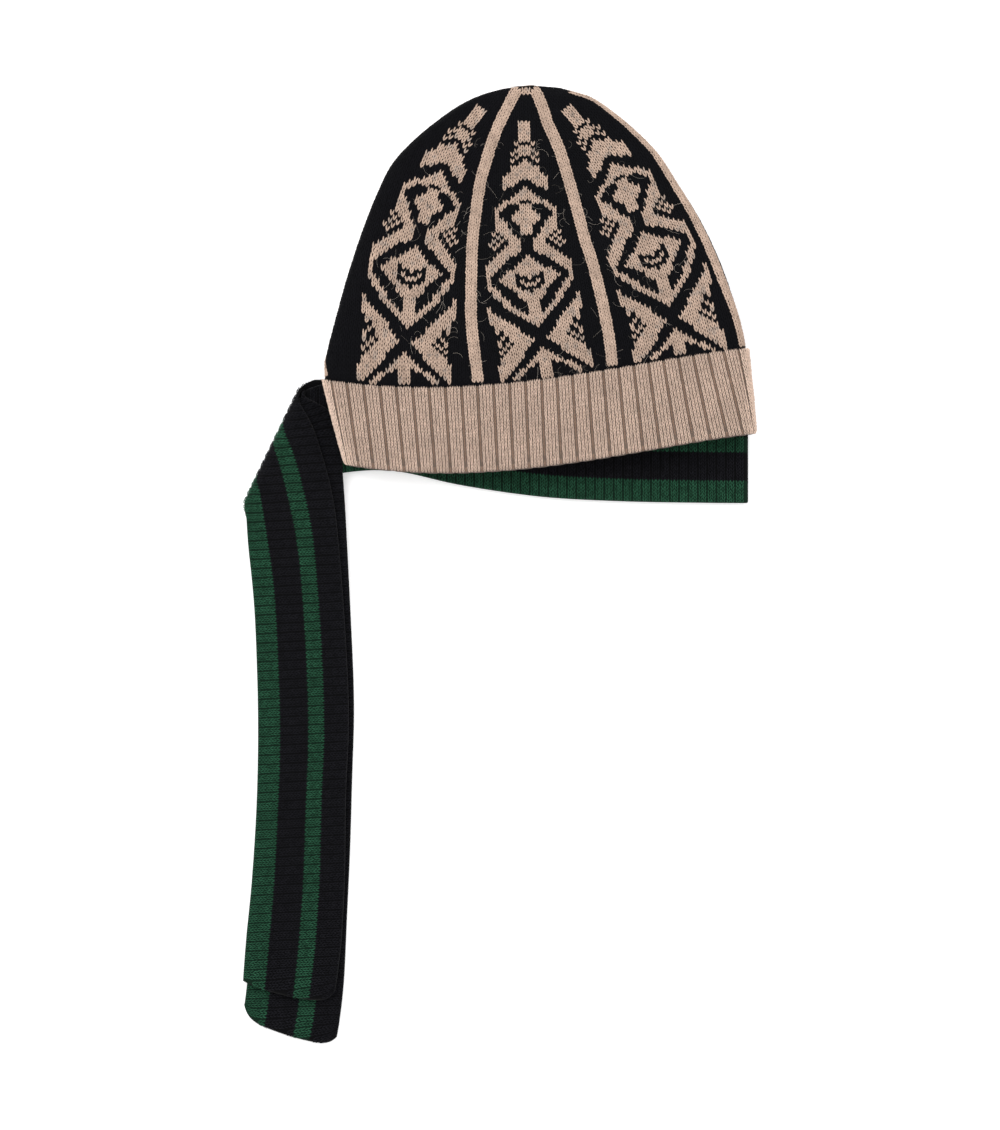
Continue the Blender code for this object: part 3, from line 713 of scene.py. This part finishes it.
# The purl wale in each groove shows as a column of beads that lie across it, in a darker beige that is painted
# shade of the groove
groove, row = (grid.ravel() for grid in np.meshgrid(np.arange(RIB_COUNT), np.arange(-2, rows_up)))
up, across, lift, corners = stitches(row + 0.5, np.zeros(len(row)), 33)
around = (np.repeat(groove, 2 * len(LEG)) + (across - 0.45) * 0.09) / RIB_COUNT * CUFF_AROUND - CUFF_AROUND / 2
up = up * CUFF_ROW
points = cuff_outside(around, up, lift * YARN_RISE * 0.9 - CLOTH_SINK - rib_relief(around, up))
beads = points, corners[:, ::-1], yarn_colours(np.tile(linear(BEAD_SHADED_BEIGE), (len(row), 1)), 34, 0.06)
points, corners, colours = join(ribs, beads)
cuff_knit = mesh_piece("cuff_stitches", points, corners, cuff_wool, colours)
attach(cuff_knit, "root")

# --- Loose fibres ------------------------------------------------------------------------------
# Single hairs of the wool that brushing and wear have pulled out of the yarn. They lie curled over
# the crown and the cuff, each held by its root in a stitch.
FIBRE_WIDTH = 0.07 * MM
FIBRE_POINTS = 8


def fibres(count, seed, place, middle, reach):
    """Thin ribbons on a surface, from a chance start in the ellipse of half axes reach: each runs 3 to
    10 mm with an evenly turning heading, and rises as a half wave, sin(pi s), along its length."""
    chance = np.random.default_rng(seed)
    turn = chance.uniform(0, 2 * math.pi, (count, 1))
    first = middle + reach * np.sqrt(chance.random((count, 1))) * np.hstack([np.cos(turn), np.sin(turn)])
    share = np.linspace(0, 1, FIBRE_POINTS)
    heading = chance.uniform(0, 2 * math.pi, (count, 1)) + chance.normal(0, 2.4, (count, 1)) * share
    step = chance.uniform(3 * MM, 10 * MM, (count, 1)) / (FIBRE_POINTS - 1)
    u = first[:, :1] + np.cumsum(np.cos(heading) * step, axis=1)
    v = first[:, 1:] + np.cumsum(np.sin(heading) * step, axis=1)
    height = (0.15 + 0.75 * np.sin(math.pi * share)) * MM + 0 * u
    wide = FIBRE_WIDTH / 2 * np.array([1, -1])
    points = place(u[..., None] - np.sin(heading)[..., None] * wide,
                   v[..., None] + np.cos(heading)[..., None] * wide, height[..., None] + 0 * wide)
    here = (np.arange(count)[:, None] * 2 * FIBRE_POINTS + np.arange(FIBRE_POINTS - 1) * 2).ravel()
    corners = np.concatenate([np.stack([here, here + 1, here + 3], -1), np.stack([here, here + 3, here + 2], -1)])
    shade = linear("#C9BEB2") * chance.uniform(0.12, 0.7, (count, 1))
    return points.reshape(-1, 3), corners, np.repeat(shade, 2 * FIBRE_POINTS, axis=0)


points, corners, colours = join(
    fibres(300, 51, lambda x, y, height: crown_spot(x, y, height, 1),
           np.array([18, 155]) * MM, np.array([82, 72]) * MM),
    fibres(90, 52, cuff_outside, np.array([0, CUFF_HEIGHT / 2]), np.array([CUFF_FLAT, CUFF_HEIGHT / 3])))
hairs = mesh_piece("loose_fibres", points, corners, crown_wool, colours)
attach(hairs, "root")

# --- Strip -------------------------------------------------------------------------------------
# One long strip of green and black rib, folded in two at the nape and laid under the hat. Both
# ends come out at the left and turn down over a slanting fold, the outer turn over the inner one.
STRIP_WIDTH = 49 * MM
STRIP_THICK = 2.6 * MM
UPPER_TIE_LENGTH = 296 * MM
LOWER_TIE_LENGTH = 319 * MM
FOLD_LEAN = math.radians(25.8)
FOLD_CROSS = math.radians(41.7)
FOLD_LENGTH = 67 * MM
END_BOW = 2.5 * MM
# How far the corners at the green and the black edge are rounded back
UPPER_ROUND = (0.5 * MM, 6.0 * MM)
LOWER_ROUND = (6.5 * MM, 5.0 * MM)
TIE_DROP_LENGTH = 55 * MM
INNER_ROLL = STRIP_LAYER / 2
OUTER_ROLL = 3 * STRIP_LAYER / 2
STRIP_CORE = 0.62 * MM
CELL = 4.96 * MM
STRIP_ROWS = 29
FOLD_ROW = 40
GREEN = "#234A36"
STRIP_BLACK = "#151519"
# Rows of each colour from the green edge
STRIPES = ((7, GREEN), (9, STRIP_BLACK), (5, GREEN), (8, STRIP_BLACK))
# green edge x, black edge x (in HAT_WIDTH), middle y (in HAT_HEIGHT), height (in STRIP_WIDTH)
BAND = (
    (0.483, 0.483, 0.036, 1.00), (0.376, 0.376, 0.037, 1.00), (0.188, 0.193, 0.041, 1.00),
    (0.000, 0.012, 0.053, 1.00), (-0.188, -0.165, 0.083, 1.00), (-0.341, -0.301, 0.119, 1.00),
    (-0.464, -0.395, 0.118, 1.03), (-0.565, -0.466, 0.102, 1.16),
)
FOLD_PLACE = np.array([-0.634 * HAT_WIDTH, 0.070 * HAT_HEIGHT])
# green edge x and y, black edge x and y (x in STRIP_WIDTH, y down in the tie's length)
UPPER_TIE = (
    (-0.243, 0.183, 0.460, -0.032), (-0.211, 0.237, 0.568, 0.022), (-0.189, 0.281, 0.654, 0.075),
    (-0.168, 0.344, 0.730, 0.156), (-0.146, 0.461, 0.817, 0.353), (-0.146, 0.568, 0.849, 0.496),
    (-0.168, 0.676, 0.817, 0.631), (-0.216, 0.792, 0.806, 0.774), (-0.265, 0.873, 0.773, 0.882),
    (-0.292, 0.927, 0.730, 0.948), (-0.308, 0.964, 0.687, 1.000),
)
LOWER_TIE = (
    (-0.189, 0.153, 0.680, -0.051), (-0.178, 0.194, 0.760, -0.008), (-0.157, 0.244, 0.784, 0.045),
    (-0.135, 0.302, 0.817, 0.120), (-0.114, 0.394, 0.860, 0.261), (-0.103, 0.493, 0.903, 0.427),
    (-0.114, 0.593, 0.882, 0.560), (-0.146, 0.693, 0.860, 0.676), (-0.189, 0.784, 0.828, 0.784),
    (-0.243, 0.867, 0.795, 0.892), (-0.287, 0.925, 0.748, 0.958), (-0.319, 0.953, 0.700, 1.002),
)


class StripHalf:
    """One half of the strip, from the nape to its tie's end, drawn unfolded by its two edges and
    then carried round the slanting fold: a half turn of the roll's radius, then back over itself."""

    def __init__(self, level, roll, tie, tie_length, corners):
        self.level = level
        self.corners = corners
        self.roll = roll
        along = np.array([math.sin(FOLD_LEAN), math.cos(FOLD_LEAN)])
        self.out = np.array([-math.cos(FOLD_LEAN), math.sin(FOLD_LEAN)])
        ends = FOLD_PLACE + np.array([[-0.5], [0.5]]) * FOLD_LENGTH * along
        ends = ends - self.out * (OUTER_ROLL + STRIP_THICK / 2)
        self.axis = ends[0]
        self.drop_start = ends[0][1] - STRIP_WIDTH / 5
        slide = -along / math.tan(FOLD_CROSS)
        green_x, black_x, middle_y, tall = np.array(BAND).T
        half = tall * STRIP_WIDTH / 2
        band = np.column_stack([green_x * HAT_WIDTH, middle_y * HAT_HEIGHT - half,
                                black_x * HAT_WIDTH, middle_y * HAT_HEIGHT + half])
        angle = np.linspace(0, math.pi, 13)[:, None]
        shift = slide * roll * (angle - math.pi / 2) + self.out * roll * angle
        turns = ends.reshape(1, 4) + np.tile(shift, 2)
        edges = FOLD_PLACE + np.array(tie).reshape(-1, 2, 2) * np.array([STRIP_WIDTH, -tie_length])
        past = (edges - self.axis) @ self.out
        edges = edges + (math.pi * roll - 2 * past)[..., None] * self.out
        band = smooth_rows(np.vstack([band, turns[0]]), FOLD_ROW + 1)
        tie_rows = smooth_rows(np.vstack([turns[-1], edges.reshape(-1, 4)]), 71)
        self.rows = np.vstack([band[:-1], turns, tie_rows[1:]])
        self.numbers = np.arange(len(self.rows))
        middle = (self.rows[:, :2] + self.rows[:, 2:]) / 2
        self.green_length, self.length, self.black_length = (
            np.concatenate([[0], np.cumsum(np.hypot(*np.diff(line, axis=0).T))])
            for line in (self.rows[:, :2], middle, self.rows[:, 2:]))
        self.end = len(self.rows) - 1
        # The tie's knit is laid square to it at its middle
        mid = (FOLD_ROW + self.end) // 2
        onward = middle[mid + 1] - middle[mid - 1]
        across = self.rows[mid, 2:] - self.rows[mid, :2]
        self.skew = (self.green_length - self.black_length)[mid] + across @ onward / np.hypot(*onward)

    def number(self, along, share, skew):
        """Number of the row that is passed after a length of cloth from the nape, found by halving.
        The length is each edge's own, shared out over the width, so that the ribs stay square to
        the strip where the drawn rows slant. Skew moves the black edge's lengths on."""
        low = np.zeros(np.shape(along))
        high = low + self.end
        for _ in range(16):
            middle = (low + high) / 2
            passed = ((1 - share) * np.interp(middle, self.numbers, self.green_length)
                      + share * (np.interp(middle, self.numbers, self.black_length) + skew))
            low = np.where(passed < along, middle, low)
            high = np.where(passed < along, high, middle)
        return (low + high) / 2

    def spot(self, number, share, height):
        """Place at a row's number and a share of the width from the green edge, with its height
        along the upper face's normal. The last rows bow out in the middle and are rounded at the corners."""
        green_x, green_y, black_x, black_y = (
            np.interp(number, self.numbers, column) for column in self.rows.T)
        flat = np.stack([green_x + share * (black_x - green_x), green_y + share * (black_y - green_y)], -1)
        onward = self.rows[-1] - self.rows[-2]
        onward = (onward[:2] + onward[2:]) / np.hypot(*(onward[:2] + onward[2:]))
        bow = (END_BOW * (1 - (2 * share - 1) ** 2) - np.where(share < 0.5, *self.corners) * (2 * share - 1) ** 8) * rise(1 - (self.length[-1] - np.interp(number, self.numbers, self.length)) / (12 * MM))
        flat = flat + bow[..., None] * onward
        past = (flat - self.axis) @ self.out
        angle = np.clip(past / self.roll, 0, math.pi)
        beyond = np.maximum(past - math.pi * self.roll, 0)
        travel = np.minimum(past, 0) + self.roll * np.sin(angle) - beyond
        spot = flat + (travel - past)[..., None] * self.out
        drop = 2 * STRIP_LAYER * rise((self.drop_start - spot[..., 1]) / TIE_DROP_LENGTH) * (beyond > 0)
        level = self.level + self.roll * (1 - np.cos(angle)) - drop + height * np.cos(angle)
        spot = spot - (height * np.sin(angle))[..., None] * self.out
        return np.concatenate([spot + SHIFT, level[..., None]], axis=-1)


outer_half = StripHalf(STRIP_THICK / 2, OUTER_ROLL, UPPER_TIE, UPPER_TIE_LENGTH, UPPER_ROUND)
inner_half = StripHalf(STRIP_THICK / 2 + STRIP_LAYER, INNER_ROLL, LOWER_TIE, LOWER_TIE_LENGTH, LOWER_ROUND)
ROW_COLOURS = np.concatenate([np.tile(linear(code), (rows, 1)) for rows, code in STRIPES])


def strip_shell():
    """The cloth's core as one band: the outer half from its end back to the nape, the half turn
    there, and the inner half out to its end. Each ring goes over the face and back under it."""
    share = np.concatenate([[0.004], np.linspace(0.018, 0.982, 58), [0.996]])
    share = np.concatenate([share, share[1:-1][::-1]])
    over = np.concatenate([[0], np.ones(58), [0], -np.ones(58)]) * STRIP_CORE
    rings = []
    for half, face in ((outer_half, 1), (inner_half, -1)):
        number = np.concatenate([np.linspace(0, FOLD_ROW, 60)[:-1], np.linspace(FOLD_ROW, FOLD_ROW + 15, 31)[:-1],
                                 np.linspace(FOLD_ROW + 15, half.end - 0.1, 90)])
        number, wide = np.meshgrid(number, share, indexing="ij")
        rings.append(half.spot(number, wide, np.tile(over * face, (len(number), 1))))
    start = outer_half.spot(np.zeros(len(share)), share, np.zeros(len(share)))
    turn = np.linspace(0, math.pi, 9)[1:-1, None]
    reach = INNER_ROLL - over
    nape = np.stack([start[:, 0] + reach * np.sin(turn), start[:, 1] + 0 * turn,
                     start[:, 2] + INNER_ROLL - reach * np.cos(turn)], axis=-1)
    return np.concatenate([rings[0][::-1], nape, rings[1]]), share


strip_wool = wool("green_and_black_wool_rib", 0.06)
shell, share = strip_shell()
core_rows = np.clip((share * STRIP_ROWS).astype(int), 0, STRIP_ROWS - 1)
count, ring_size = shell.shape[:2]
ends = np.array([shell[0].mean(axis=0), shell[-1].mean(axis=0)])
corners = grid_corners(count, ring_size)
rim = np.arange(ring_size)
first_cap = np.column_stack([np.full(ring_size, count * ring_size), np.roll(rim, -1), rim])
last = (count - 1) * ring_size
last_cap = np.column_stack([np.full(ring_size, count * ring_size + 1), last + rim, last + np.roll(rim, -1)])
# The core is the rows' colours at 0.22: painted shade in the grooves between the ribs, where the core shows. The
# two end caps keep the plain black.
core_colours = np.vstack([np.tile(ROW_COLOURS[core_rows] * 0.22, (count, 1)), np.tile(linear(STRIP_BLACK), (2, 1))])
strip_cloth = mesh_piece("strip_cloth", np.vstack([shell.reshape(-1, 3), ends]),
                         np.vstack([corners, first_cap, last_cap])[:, ::-1], strip_wool, core_colours)
for name, half, face, seed in (
    ("strip_stitches_band", inner_half, 1, 41),
    ("strip_stitches_lower_tie", inner_half, -1, 42),
    ("strip_stitches_upper_tie", outer_half, -1, 43),
):
    skew = 0.0 if face > 0 else half.skew
    cells = int(max(half.green_length[-1], half.black_length[-1] + skew) / CELL) + 1
    column, row = (grid.ravel() for grid in np.meshgrid(np.arange(2 * cells), np.arange(STRIP_ROWS)))
    # The fold pulls the ribs apart, and they close again on the way to the end
    wale = column // 2 + 0.5
    number = half.number(wale * CELL, (row + 0.5) / STRIP_ROWS, skew)
    opened = 1 - rise((number - FOLD_ROW - 12) / (half.end - FOLD_ROW - 12)) if face < 0 else 0.7 + 0 * number
    wale = wale + (column % 2 - 0.5) * (0.45 - 0.06 * opened)
    keep = (number < FOLD_ROW) if face > 0 else (number >= FOLD_ROW) & (number < half.end - 0.12)
    wale, row, opened = wale[keep], row[keep], np.repeat(opened[keep], 2 * len(LEG))
    across, along, lift, corners = stitches(np.zeros(len(row)), row, seed, 0.70, 1.25, 0.84)
    place = (np.repeat(wale, 2 * len(LEG)) + across * 0.42) * CELL
    rib_share = place / CELL % 1
    valley = (0.3 + 0.7 * opened) * (1 - rise(np.minimum(rib_share, 1 - rib_share) / 0.26))
    height = STRIP_CORE - 0.12 * MM + (0.42 - 0.48 * valley) * MM + lift * 0.58 * MM
    share = np.clip((along + 0.2) / STRIP_ROWS, 0.004, 0.996)
    points = half.spot(half.number(place, share, skew), share, face * height)
    if face > 0:
        corners = corners[:, ::-1]
    knit = mesh_piece(name, points, corners, strip_wool, yarn_colours(ROW_COLOURS[row], seed + 10, 0.12))
    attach(knit, "root")
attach(strip_cloth, "root")
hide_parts("striped_strip")
